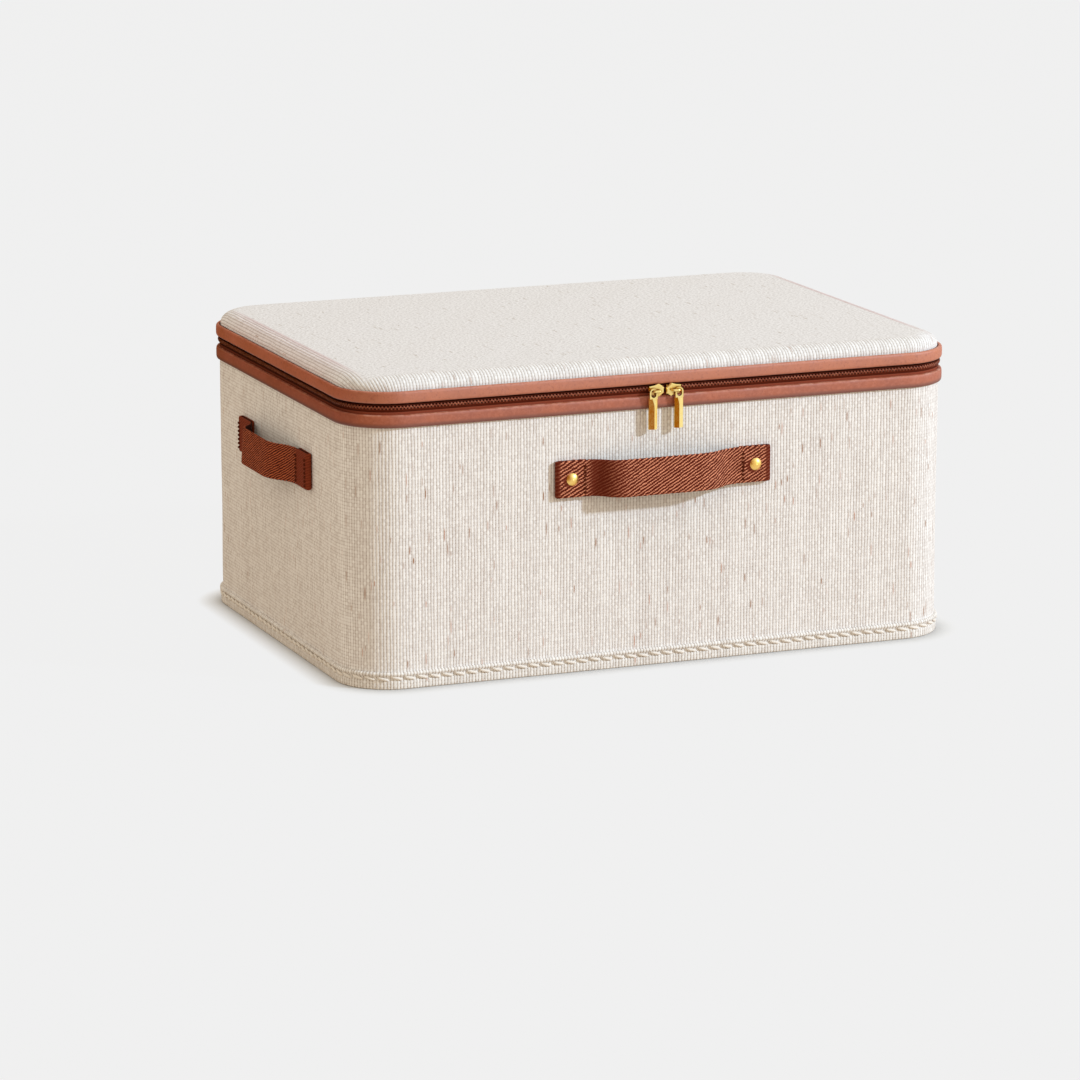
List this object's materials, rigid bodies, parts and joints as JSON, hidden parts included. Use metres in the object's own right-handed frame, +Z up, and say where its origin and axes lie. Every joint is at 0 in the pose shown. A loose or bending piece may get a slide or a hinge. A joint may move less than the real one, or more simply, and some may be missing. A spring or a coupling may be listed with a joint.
{
  "type": "zippered storage box",
  "caption": "Stiffened fabric storage box with rounded corners, a padded lid hinged at the back and closed by a zip, and carrying straps on its front and sides.",
  "frame": {"origin": "centre of the underside of the box's base, on the surface that it stands on; the wall is centred there and the handles stand outside it", "axes": "+X to the right along the width, +Y from the front with the sliders to the back with the hinge, +Z up"},
  "size_m": [0.378, 0.263, 0.1684],
  "materials": {
    "cream_weave": "coarse off-white linen-look weave with short brown slubs",
    "base_fabric": "plain cream woven fabric on the underside",
    "stiffener_board": "plain grey-brown fibreboard",
    "lid_padding": "thin white foam sheet",
    "lining_fabric": "smooth beige non-woven lining",
    "band_leather": "smooth tan leather-look band with a soft sheen",
    "zip_tape": "dark brown woven zip tape",
    "zip_coil": "dark brown nylon coil",
    "gold_metal": "polished gold plating",
    "strap_twill": "tan twill strap with diagonal ribs"
  },
  "bodies": {
    "box": {"base_cover": "base_fabric", "base_board": "stiffener_board", "base_lining": "lining_fabric", "bottom_binding": "cream_weave", "wall_cover": "cream_weave", "wall_board": "stiffener_board", "wall_lining": "lining_fabric", "lower_band": "band_leather", "lower_zip_tape": "zip_tape", "lower_zip_coil": "zip_coil", "hinge_strip": "zip_tape", "zip_end_stops": "gold_metal", "front_handle": "strap_twill", "front_handle_rivets": "gold_metal", "rivet_back_caps": "gold_metal", "left_handle": "strap_twill", "right_handle": "strap_twill"},
    "lid": {"upper_band": "band_leather", "upper_zip_tape": "zip_tape", "upper_zip_coil": "zip_coil", "lid_cover": "cream_weave", "lid_foam": "lid_padding", "lid_board": "stiffener_board", "lid_frame": "stiffener_board", "lid_lining": "lining_fabric"},
    "left_slider": {"left_slider": "gold_metal", "left_slider_bridge": "gold_metal"},
    "right_slider": {"right_slider": "gold_metal", "right_slider_bridge": "gold_metal"},
    "left_pull": {"left_pull": "gold_metal"},
    "right_pull": {"right_pull": "gold_metal"}
  },
  "joints": [
    {"name": "lid_hinge", "type": "hinge", "parent": "box", "child": "lid", "pos_m": [0, 0.1263, 0.15175], "axis": [-1, 0, 0], "range_deg": [0, 175], "deforming": ["hinge_strip"]},
    {"name": "left_slider_slide", "type": "slide", "parent": "box", "child": "left_slider", "axis": [-1, 0, 0], "range_m": [0, 0.13]},
    {"name": "right_slider_slide", "type": "slide", "parent": "box", "child": "right_slider", "axis": [1, 0, 0], "range_m": [0, 0.13]},
    {"name": "left_pull_swing", "type": "hinge", "parent": "left_slider", "child": "left_pull", "pos_m": [-0.0075, -0.1289, 0.15175], "axis": [0, 1, 0], "range_deg": [-10, 90]},
    {"name": "right_pull_swing", "type": "hinge", "parent": "right_slider", "child": "right_pull", "pos_m": [0.0075, -0.1289, 0.15175], "axis": [0, -1, 0], "range_deg": [-10, 90]}
  ]
}
